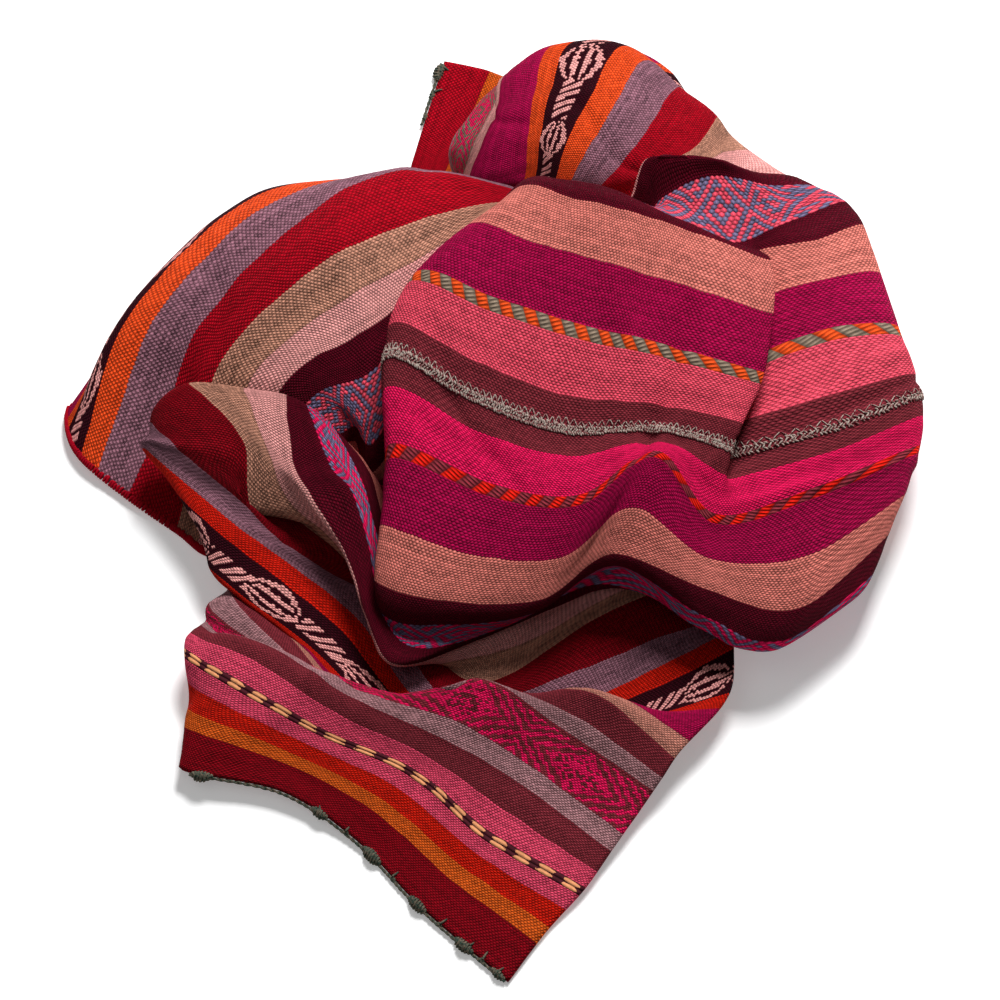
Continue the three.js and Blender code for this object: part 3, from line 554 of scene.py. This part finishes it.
def makeWeaveGroup():
    # Warp floats that lie offset like bricks: the place, relief and tone of the float at a spot
    group, given, out = newGroup(
        "warpFloats", [("Cloth", None), ("Yarn Pitch", 0.0015), ("Pick Pitch", 0.0013), ("Wander", 0.0005)],
        ["Across", "Along", "Relief", "Tone", "Yarn"])
    nodes, links, op = group.nodes, group.links, partial(calc, group)
    drift = addNoise(group, given["Cloth"], 45, 2)
    split = nodes.new("ShaderNodeSeparateXYZ")
    links.new(given["Cloth"], split.inputs[0])
    sway = op("MULTIPLY", op("SUBTRACT", drift, 0.5), given["Wander"])
    ribs = op("DIVIDE", op("MULTIPLY_ADD", sway, 2, split.outputs["X"]), given["Yarn Pitch"])
    picks = op("DIVIDE", op("MULTIPLY_ADD", sway, 4, split.outputs["Y"]), given["Pick Pitch"])
    column, pick = op("FLOOR", ribs), op("FLOOR", picks)
    offMiddle = op("SUBTRACT", op("FRACT", ribs), 0.5)
    wide = op("ABSOLUTE", offMiddle)
    long = op("ABSOLUTE", op("SUBTRACT", op("FRACT", picks), 0.5))
    raised = op("MODULO", op("ADD", op("ADD", column, pick), alwaysPositive), 2)
    spare = op("MULTIPLY_ADD", long, -2, 1)

    def dome(across, state):
        # Height of a float's rounded top at this distance from its middle
        along = op("MULTIPLY_ADD", state, spare, long)
        flank = op("POWER", op("DIVIDE", across, 0.64), 2)
        return op("SUBTRACT", op("SUBTRACT", 1, flank), op("POWER", along, 2))

    own = dome(wide, op("SUBTRACT", 1, raised))
    beside = dome(op("SUBTRACT", 1, wide), raised)
    rib = op("MULTIPLY_ADD", op("POWER", long, 2), -1.6, 1)
    relief = op("MULTIPLY", op("MAXIMUM", op("MAXIMUM", own, beside), 0), rib)
    links.new(relief, out["Relief"])
    # The float on top belongs to this column or to the next one, and is two picks long
    shift = op("MULTIPLY", op("SIGN", offMiddle), op("GREATER_THAN", beside, own))
    column = op("ADD", column, shift)
    links.new(op("MULTIPLY", op("ADD", column, 0.5), given["Yarn Pitch"]), out["Across"])
    odd = op("MODULO", op("ADD", column, alwaysPositive), 2)
    turn = op("FLOOR", op("MULTIPLY", op("ADD", op("SUBTRACT", picks, 0.5), odd), 0.5))
    middle = op("SUBTRACT", op("MULTIPLY_ADD", turn, 2, 1.5), odd)
    links.new(op("MULTIPLY", middle, given["Pick Pitch"]), out["Along"])
    cell = nodes.new("ShaderNodeCombineXYZ")
    links.new(column, cell.inputs[0])
    links.new(turn, cell.inputs[1])
    grain = nodes.new("ShaderNodeTexWhiteNoise")
    grain.noise_dimensions = "2D"
    links.new(cell.outputs[0], grain.inputs["Vector"])
    links.new(grain.outputs["Value"], out["Tone"])
    yarn = nodes.new("ShaderNodeTexWhiteNoise")
    yarn.noise_dimensions = "1D"
    links.new(column, yarn.inputs["W"])
    links.new(yarn.outputs["Value"], out["Yarn"])
    return group


# Narrow bands that are drawn in smooth lines; in the others each float has one colour
smoothBands = ("links", "rope")


def makeBandGroup(kind):
    # Mask of a band and of the figures in it, one value for each float
    group, given, out = newGroup(
        kind + "Band", [("Across", 0), ("Along", 0), ("Tone", 0), ("Low", 0), ("High", 0.03),
                        ("Repeat", 0.04), ("Stretch", 1), ("Rings", 3), ("Filled", 0)],
        ["Inside", "Figure", "Relief"])
    op = partial(calc, group)
    middle = op("MULTIPLY", op("ADD", given["Low"], given["High"]), 0.5)
    half = op("MULTIPLY", op("SUBTRACT", given["High"], given["Low"]), 0.5)
    share = op("DIVIDE", op("SUBTRACT", given["Across"], middle), half)
    turn = op("FRACT", op("ADD", op("DIVIDE", given["Along"], given["Repeat"]), 40))
    wide = op("ABSOLUTE", share)
    group.links.new(op("LESS_THAN", wide, 1), out["Inside"])
    uneven = op("SUBTRACT", given["Tone"], 0.5)
    fromMiddle = op("MULTIPLY", op("ABSOLUTE", op("SUBTRACT", turn, 0.5)), 2)
    if kind == "diamonds":
        # Diamonds in diamonds, with a speckled heart
        reach = op("MULTIPLY_ADD", fromMiddle, given["Stretch"], wide)
        ring = op("MULTIPLY_ADD", reach, given["Rings"], op("MULTIPLY", uneven, 0.2))
        rings = op("LESS_THAN", op("FRACT", ring), 0.5)
        heart = op("LESS_THAN", reach, given["Filled"])
        dots = op("MULTIPLY", heart, op("GREATER_THAN", uneven, -0.12))
        figure = op("ADD", op("MULTIPLY", rings, op("SUBTRACT", 1, heart)), dots)
    elif kind == "links":
        # Pairs of long loops side by side
        aside = op("MULTIPLY", op("ABSOLUTE", op("SUBTRACT", wide, 0.48)), 2.1)
        loop = op("ADD", op("POWER", aside, 2), op("POWER", op("DIVIDE", fromMiddle, 0.66), 2))
        figure = op("LESS_THAN", op("MULTIPLY_ADD", uneven, 0.7, loop), 1)
        relief = op("MULTIPLY", op("SUBTRACT", 1.2, op("POWER", aside, 2)), 0.8)
    elif kind == "rope":
        # Slanting bundles of a few threads in two colours by turns
        twist = op("MULTIPLY_ADD", share, 0.2, turn)
        figure = op("LESS_THAN", op("FRACT", twist), 0.5)
        bundle = op("ABSOLUTE", op("SUBTRACT", op("FRACT", op("MULTIPLY", twist, 2)), 0.5))
        thread = op("COSINE", op("MULTIPLY", op("MULTIPLY_ADD", turn, -2.2, share), 9))
        body = op("SUBTRACT", 1.1, op("MULTIPLY", op("POWER", bundle, 2), 3.4))
        body = op("SUBTRACT", body, op("MULTIPLY", op("POWER", wide, 4), 0.5))
        relief = op("MULTIPLY", body, op("MULTIPLY_ADD", thread, 0.42, 0.75))
    else:
        # A leaf with a smaller leaf in it, then a braided stem
        body = op("MULTIPLY", op("MINIMUM", op("DIVIDE", turn, 0.56), 1), math.pi)
        swell = op("POWER", op("MAXIMUM", op("SINE", body), 0.001), 0.75)
        fill = op("DIVIDE", op("MULTIPLY_ADD", uneven, 0.1, wide), swell)
        outline = op("MULTIPLY", op("LESS_THAN", fill, 0.98), op("GREATER_THAN", fill, 0.66))
        inner = op("MULTIPLY", op("LESS_THAN", fill, 0.4), op("GREATER_THAN", fill, 0.14))
        braid = op("LESS_THAN", op("FRACT", op("MULTIPLY_ADD", turn, 9, op("MULTIPLY", share, 1.4))), 0.6)
        stem = op("MULTIPLY", op("LESS_THAN", wide, 0.5), braid)
        stem = op("MULTIPLY", stem, op("GREATER_THAN", turn, 0.5))
        figure = op("MINIMUM", op("ADD", op("ADD", outline, inner), stem), 1)
    group.links.new(figure, out["Figure"])
    if kind in smoothBands:
        group.links.new(relief, out["Relief"])
    return group


def placeGroup(tree, group, values):
    node = tree.nodes.new("ShaderNodeGroup")
    node.node_tree = group
    for label, value in values.items():
        feed(tree, node.inputs[label], value)
    return node.outputs


def mixColour(tree, factor, first, second, blend="MIX"):
    node = tree.nodes.new("ShaderNodeMix")
    node.data_type = "RGBA"
    node.blend_type = blend
    for number, value in ((0, factor), (6, first), (7, second)):
        feed(tree, node.inputs[number], value)
    return node.outputs[2]


def wool(name):
    material = bpy.data.materials.new(name)
    material.use_nodes = True
    shader = material.node_tree.nodes["Principled BSDF"]
    shader.inputs["Roughness"].default_value = 0.85
    shader.inputs["Specular IOR Level"].default_value = 0.06
    return material, material.node_tree, shader


def stripedCloth(name, face):
    # The woven cloth of one panel, its colours read on the cloth's own flat places
    material, tree, shader = wool(name)
    nodes, links, op = tree.nodes, tree.links, partial(calc, tree)
    flat = nodes.new("ShaderNodeUVMap")
    flat.uv_map = "cloth"
    woven, floats = (
        placeGroup(tree, groups["weave"], {"Cloth": flat.outputs[0], "Yarn Pitch": weave[rib],
                                           "Pick Pitch": weave[pick], "Wander": weave["wander"]})
        for rib, pick in (("yarnPitch", "pickPitch"), ("floatPitch", "floatPick")))
    total = sum(stripe["width"] for stripe in stripes)
    ramp = nodes.new("ShaderNodeValToRGB")
    ramp.color_ramp.interpolation = "CONSTANT"
    links.new(op("DIVIDE", woven["Across"], total / 1000), ramp.inputs[0])
    edge = 0
    for i, stripe in enumerate(stripes):
        element = ramp.color_ramp.elements[0] if i == 0 else ramp.color_ramp.elements.new(edge / total)
        element.color = shade(stripe[face])[:3] + (stripe.get("heather", weave["heather"]),)
        edge += stripe["width"]
    ramp.color_ramp.elements.remove(ramp.color_ramp.elements[-1])
    plain = nodes.new("ShaderNodeSeparateXYZ")
    links.new(flat.outputs[0], plain.inputs[0])
    colour, inBand, inRope, ropeRelief = ramp.outputs["Color"], 0.0, 0.0, 0.0
    for band in bands:
        smooth = band["kind"] in smoothBands
        cells = floats if band.get("long") else woven
        across, along = plain.outputs[:2] if smooth else (cells["Across"], cells["Along"])
        figure = placeGroup(tree, groups[band["kind"]], {
            "Across": across, "Along": along, "Tone": cells["Tone"],
            "Low": band["low"] / 1000, "High": band["high"] / 1000, "Repeat": band["repeat"] / 1000,
            "Stretch": band.get("stretch", 1), "Rings": band.get("rings", 3),
            "Filled": band.get("filled", 0)})
        drawn = mixColour(tree, figure["Figure"], shade(band[face][1]), shade(band[face][0]))
        colour = mixColour(tree, figure["Inside"], colour, drawn)
        if smooth:
            inRope = op("MAXIMUM", figure["Inside"], inRope)
            ropeRelief = op("MULTIPLY_ADD", figure["Relief"], figure["Inside"], ropeRelief)
        elif cells is floats:
            inBand = op("MAXIMUM", figure["Inside"], inBand)

    def blend(label):
        # The pattern floats inside a band and the plain weave outside it
        return op("MULTIPLY_ADD", inBand, op("SUBTRACT", floats[label], woven[label]), woven[label])

    relief = op("MULTIPLY_ADD", op("SUBTRACT", 1, inRope), blend("Relief"), ropeRelief)
    # Each yarn and float has its own tone, and the cloth is faded here and there
    tone = op("MULTIPLY_ADD", blend("Yarn"), 0.4, op("MULTIPLY", blend("Tone"), 0.6))
    tone = op("MULTIPLY", op("SUBTRACT", tone, 0.5), op("MULTIPLY", ramp.outputs["Alpha"], 2))
    faded, fibres = addNoise(tree, flat.outputs[0], 14, 3), addNoise(tree, flat.outputs[0], 1600, 2)
    fade = op("MULTIPLY", op("SUBTRACT", faded, 0.5), weave["fading"])
    fuzz = op("MULTIPLY", op("SUBTRACT", fibres, 0.5), weave["fibres"])
    # Painted shade in the gaps between floats and painted highlight on their rounded tops, taken from the
    # relief
    paintedLight = op("MULTIPLY", op("SUBTRACT", relief, 0.5), weave["paintedShadeAndHighlight"])
    level = op("ADD", op("ADD", op("ADD", 1, tone), fuzz), op("ADD", fade, paintedLight))
    grey = nodes.new("ShaderNodeCombineColor")
    for channel in grey.inputs:
        links.new(level, channel)
    links.new(mixColour(tree, 1.0, colour, grey.outputs[0], "MULTIPLY"), shader.inputs["Base Color"])
    height = op("MULTIPLY_ADD", fuzz, 0.5, relief)
    addBump(tree, shader, height, weave["bumpStrength"], weave["bumpDistance"])
    return material


def spunYarn(name, colour, pale, share=0.5, speckle=1.0):
    # Loose spun yarn: fine twisted fibres in two tones
    material, tree, shader = wool(name)
    op = partial(calc, tree)
    spots = tree.nodes.new("ShaderNodeTexCoord")
    fibres = addNoise(tree, spots.outputs["Object"], 700, 2)
    lift = op("MULTIPLY_ADD", op("SUBTRACT", fibres, 0.5), 3 * speckle, share)
    lift = op("MINIMUM", op("MAXIMUM", lift, 0), 1)
    tree.links.new(mixColour(tree, lift, shade(colour), shade(pale)), shader.inputs["Base Color"])
    addBump(tree, shader, fibres, 0.6, 0.0004)
    return material


groups = {"weave": makeWeaveGroup()}
for kind in ("links", "rope", "diamonds", "leaves"):
    groups[kind] = makeBandGroup(kind)

print("stage: cloth panels")
lastAcross = acrosses[-1]
frontSurface = panelSurface(0, cloth["seamAcross"], -1)
backSurface = panelSurface(cloth["seamAcross"], lastAcross, 1)
frontPanel = makePanel("frontPanel", frontSurface, stripedCloth("frontCloth", "front"))
backPanel = makePanel("backPanel", backSurface, stripedCloth("backCloth", "back"))
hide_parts("front_panel")
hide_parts("back_panel")

# Seam yarn: three rows of short slanting stitches, and a zigzag thread on the back panel's side;
# lengths are in table steps, the thickness in metres
seam = {"spacing": 0.27, "rows": (-0.34, -0.02, 0.3), "half": 0.19, "thickness": 0.00115,
        "zigzag": (0.42, 1.12), "zigzagStep": 0.36, "thread": 0.6}
lumpLine = 90  # a line of the cloth's grid that crosses the lump
upward = 1 if frontSurface["normals"][-1, lumpLine, 2] > 0 else -1  # the side of the cloth that shows


def sewSeam():
    random.seed(4)
    paths = []
    lift = cloth["thickness"] / 2 + seam["thickness"] * 0.2
    middle = cloth["seamAcross"]

    def spot(across, along, more=0.0):
        surface = frontSurface if across < middle else backSurface
        return onCloth(surface, across, along, upward * (lift + more))

    for k, line in enumerate(seam["rows"]):
        along = 0.2 + 0.09 * k
        while along < stations["tip"] - 0.4:
            half = seam["half"] * random.uniform(0.7, 1.2)
            off = middle + line + random.uniform(-0.07, 0.07)
            slant = random.uniform(0.12, 0.3) * (-1) ** k
            paths.append([(spot(off - half, along), 0.7), (spot(off, along + slant / 2, 0.0005), 1.2),
                          (spot(off + half, along + slant), 0.7)])
            along += seam["spacing"] * random.uniform(0.8, 1.15)
    along = 0.3
    while along < stations["tip"] - 1:
        low, high = (middle + value * random.uniform(0.85, 1.1) for value in seam["zigzag"])
        step = seam["zigzagStep"] * random.uniform(0.8, 1.2)
        for near, far in ((0, 0.9 * step), (2 * step, 1.1 * step)):
            paths.append([(spot(low, along + near), seam["thread"]),
                          (spot((low + high) / 2, along + (near + far) / 2, 0.0004), seam["thread"]),
                          (spot(high, along + far), seam["thread"] * 0.9)])
        along += 2 * step
    return paths


print("stage: seam")
seamYarn = makeYarns("seamYarn", sewSeam(), seam["thickness"],
                     spunYarn("seamGreyYarn", "maroonBrown", "paleWool", 0.62, 1.6))

# Grey-green edging: twisted strands along the selvedge, prongs into the cloth and clumps
edging = {
    "thickness": 0.0012,
    "strands": 2,
    "wrap": 0.0005,
    "turn": 0.0042,
    "every": 0.0011,
    "outset": 0.0013,
    "begin": 0.3,  # in table steps from the right end
    "coils": 3,
    "pitch": 1.9,  # of the winding on a clump, in mm
    "flatness": 0.7,
    "frontLength": 0.232,
    "backLength": 0.046,
}
# Clumps: where they lie and their size in mm, from the right end, and the prongs beside them
frontClumps = [dict(at=6, long=10, size=4.4, prongs=1), dict(at=19, long=3, size=2.4, prongs=1),
               dict(at=33, long=13, size=6.4, prongs=1), dict(at=53, long=3, size=2.2, prongs=1),
               dict(at=72, long=14, size=6.2, prongs=0), dict(at=96, long=3, size=2.4, prongs=1),
               dict(at=118, long=15, size=6.6, prongs=0), dict(at=140, long=3, size=2.4, prongs=1),
               dict(at=159, long=10, size=5, prongs=1), dict(at=224, long=12, size=6, prongs=0)]
backClumps = [dict(at=7, long=12, size=6, prongs=1), dict(at=24, long=5, size=3.4, prongs=1),
              dict(at=40, long=5, size=2.6, prongs=0)]


def edgeYarns(surface, across, inward, length, clumps, seed):
    random.seed(seed)
    step = cloth["step"]
    paths = []

    def edgeSpot(along, lift):
        # A place on the selvedge, and the way out of the cloth there
        spot = onCloth(surface, across, along, lift)
        return spot, (spot - onCloth(surface, across + inward * 0.5, along, lift)).normalized()

    for strand in range(edging["strands"]):
        path = []
        count = int(length / edging["every"])
        for i in range(count + 1):
            travel = length * i / count
            angle = travel / edging["turn"] * math.pi + strand * math.pi
            rise = edging["wrap"] * math.sin(angle) * 0.8
            spot, outward = edgeSpot(edging["begin"] + travel / step, rise)
            reach = edging["outset"] + edging["wrap"] * math.cos(angle)
            path.append((spot + outward * reach, random.uniform(0.75, 1.15)))
        paths.append(path)
    # Clumps: yarn wound both ways round the edge, fullest in the middle, with loose curls
    lift = cloth["thickness"] / 2 + 0.0004
    perTurn = 9
    for clump in clumps:
        turns = clump["long"] / edging["pitch"]
        count = int(turns * perTurn)
        for wind, share in ((1, 1), (-1, 0.9), (1, 0.6)):
            path = []
            for i in range(count + 1):
                travel = i / count
                along = edging["begin"] + (clump["at"] + (travel - 0.5) * clump["long"]) / 1000 / step
                fullness = 0.3 + 0.7 * math.sin(math.pi * travel) ** 0.7
                radius = clump["size"] / 2000 * fullness * share * random.uniform(0.9, 1.1)
                spot, outward = edgeSpot(along, 0)
                centre = spot + outward * radius * 0.4
                centre.z = max(centre.z, radius * edging["flatness"] + edging["thickness"] * 0.6)
                angle = wind * (turns * travel * 2 * math.pi + share)
                lean = Vector((0, 0, edging["flatness"] * radius * math.sin(angle)))
                path.append((centre + outward * radius * math.cos(angle) + lean, random.uniform(0.9, 1.15)))
                if i % perTurn == 4 and share == 1:
                    paths += looseCurls(centre, radius)
            paths.append(path)
        for _ in range(clump["prongs"]):
            aside = random.uniform(-0.5, 0.5) * clump["long"]
            along = edging["begin"] + (clump["at"] + aside) / 1000 / step
            reach, tilt = random.uniform(0.7, 1.1), random.uniform(-0.3, 0.3)
            for side in (lift, -lift):
                paths.append([
                    (onCloth(surface, across, along, side), 1.3),
                    (onCloth(surface, across + inward * reach * 0.6, along + tilt, side), 1.2),
                    (onCloth(surface, across + inward * reach, along + tilt * 1.4, side * 0.8), 0.7)])
    return paths


def looseCurls(centre, radius):
    curls = []
    for _ in range(edging["coils"]):
        axis = Vector([random.uniform(-1, 1) for _ in range(3)]).normalized()
        start = axis.orthogonal().normalized() * radius * random.uniform(0.5, 0.9)
        bend = axis.cross(start)
        angles = [0.7 * number for number in range(6)]
        curls.append([(centre + start * math.cos(t) + bend * math.sin(t), 0.9) for t in angles])
    return curls


print("stage: edging")
greenYarn = spunYarn("edgingGreenYarn", "edgingGreen", "olive", 0.4)
frontPaths = edgeYarns(frontSurface, 0, 1, edging["frontLength"], frontClumps, 11)
backPaths = edgeYarns(backSurface, lastAcross, -1, edging["backLength"], backClumps, 12)
frontEdging = makeYarns("frontEdging", frontPaths, edging["thickness"], greenYarn)
backEdging = makeYarns("backEdging", backPaths, edging["thickness"], greenYarn)
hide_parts("front_edging")
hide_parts("back_edging")

# Red overcast on the left warp end: from one row to another, in table steps, thickness in metres
overcast = {"low": 128, "high": 163, "spacing": 0.3, "reach": 0.38, "thickness": 0.002, "past": 0.0012}


def overcastEnd():
    random.seed(9)
    paths = []
    lift = cloth["thickness"] / 2 + 0.0003
    across = overcast["low"]
    end = stations["tip"]
    while across < overcast["high"]:
        slant = random.uniform(0.1, 0.35)
        reach = overcast["reach"] * random.uniform(0.7, 1.15)
        inner = onCloth(backSurface, across, end - 0.5, 0)
        rim = onCloth(backSurface, across, end, 0)
        past = rim + (rim - inner).normalized() * overcast["past"]
        past.z = max(past.z, overcast["thickness"] / 2)
        for side in (1, -1):
            paths.append([
                (onCloth(backSurface, across - slant, end - reach, side * lift * 0.9), 0.7),
                (onCloth(backSurface, across - slant / 2, end - reach / 2, side * (lift + 0.0003)), 1),
                (past, 1)])
        across += overcast["spacing"] * random.uniform(0.8, 1.2)
    return paths


print("stage: warp end")
endYarn = makeYarns("endYarn", overcastEnd(), overcast["thickness"],
                    spunYarn("overcastRedYarn", "overcastRed", "crimson", 0.5))

# Pale floor, soft light from behind, a weak fill from the left, and the camera
studio = {
    "floorSize": 8,
    "floorColour": (0.9, 0.9, 0.9, 1),
    "floorGlow": 0.3,
    "world": (1, 1, 1, 1),
    "worldStrength": 0.12,
    "keyPlace": (0.6, 2.3, 2.3),
    "keySize": 1.2,
    "keyEnergy": 182,
    "fillPlace": (-0.8, -0.3, 1.8),
    "fillSize": 1.2,
    "fillEnergy": 2,
    "cameraDistance": 20,
    "cameraRise": math.radians(60),
    "cameraAim": (cloth["step"] - cloth["heapMiddle"][0], -cloth["heapMiddle"][1], 0),
    "frameWidth": 0.58,
    "sensor": 36,
}
print("stage: floor, light and camera")
floorMesh = bpy.data.meshes.new("floor")
bm = bmesh.new()
bmesh.ops.create_grid(bm, x_segments=1, y_segments=1, size=studio["floorSize"] / 2)
bm.to_mesh(floorMesh)
bm.free()
floor = addObject("floor", floorMesh)
floorPaint = bpy.data.materials.new("paleFloor")
floorPaint.use_nodes = True
floorShader = floorPaint.node_tree.nodes["Principled BSDF"]
floorShader.inputs["Base Color"].default_value = studio["floorColour"]
floorShader.inputs["Roughness"].default_value = 0.9
floorShader.inputs["Emission Color"].default_value = studio["floorColour"]
floorShader.inputs["Emission Strength"].default_value = studio["floorGlow"]
floorMesh.materials.append(floorPaint)

world = bpy.data.worlds.new("studio")
bpy.context.scene.world = world
world.use_nodes = True
world.node_tree.nodes["Background"].inputs[0].default_value = studio["world"]
world.node_tree.nodes["Background"].inputs[1].default_value = studio["worldStrength"]


def areaLight(name, spot, size, energy):
    lamp = bpy.data.lights.new(name, "AREA")
    lamp.energy = energy
    lamp.size = size
    holder = addObject(name, lamp)
    holder.location = spot
    holder.rotation_euler = (-Vector(spot)).to_track_quat("-Z", "Y").to_euler()


areaLight("key", studio["keyPlace"], studio["keySize"], studio["keyEnergy"])
areaLight("fill", studio["fillPlace"], studio["fillSize"], studio["fillEnergy"])

lens = bpy.data.cameras.new("camera")
camera = addObject("camera", lens)
rise, away = studio["cameraRise"], studio["cameraDistance"]
lookFrom = Vector((0, -math.cos(rise), math.sin(rise)))
camera.location = Vector(studio["cameraAim"]) + lookFrom * away
camera.rotation_euler = (-lookFrom).to_track_quat("-Z", "Y").to_euler()
lens.sensor_width = studio["sensor"]
lens.lens = studio["sensor"] * away / studio["frameWidth"]
lens.clip_end = 2.5 * away
bpy.context.scene.camera = camera
bpy.context.scene.view_settings.view_transform = "Standard"
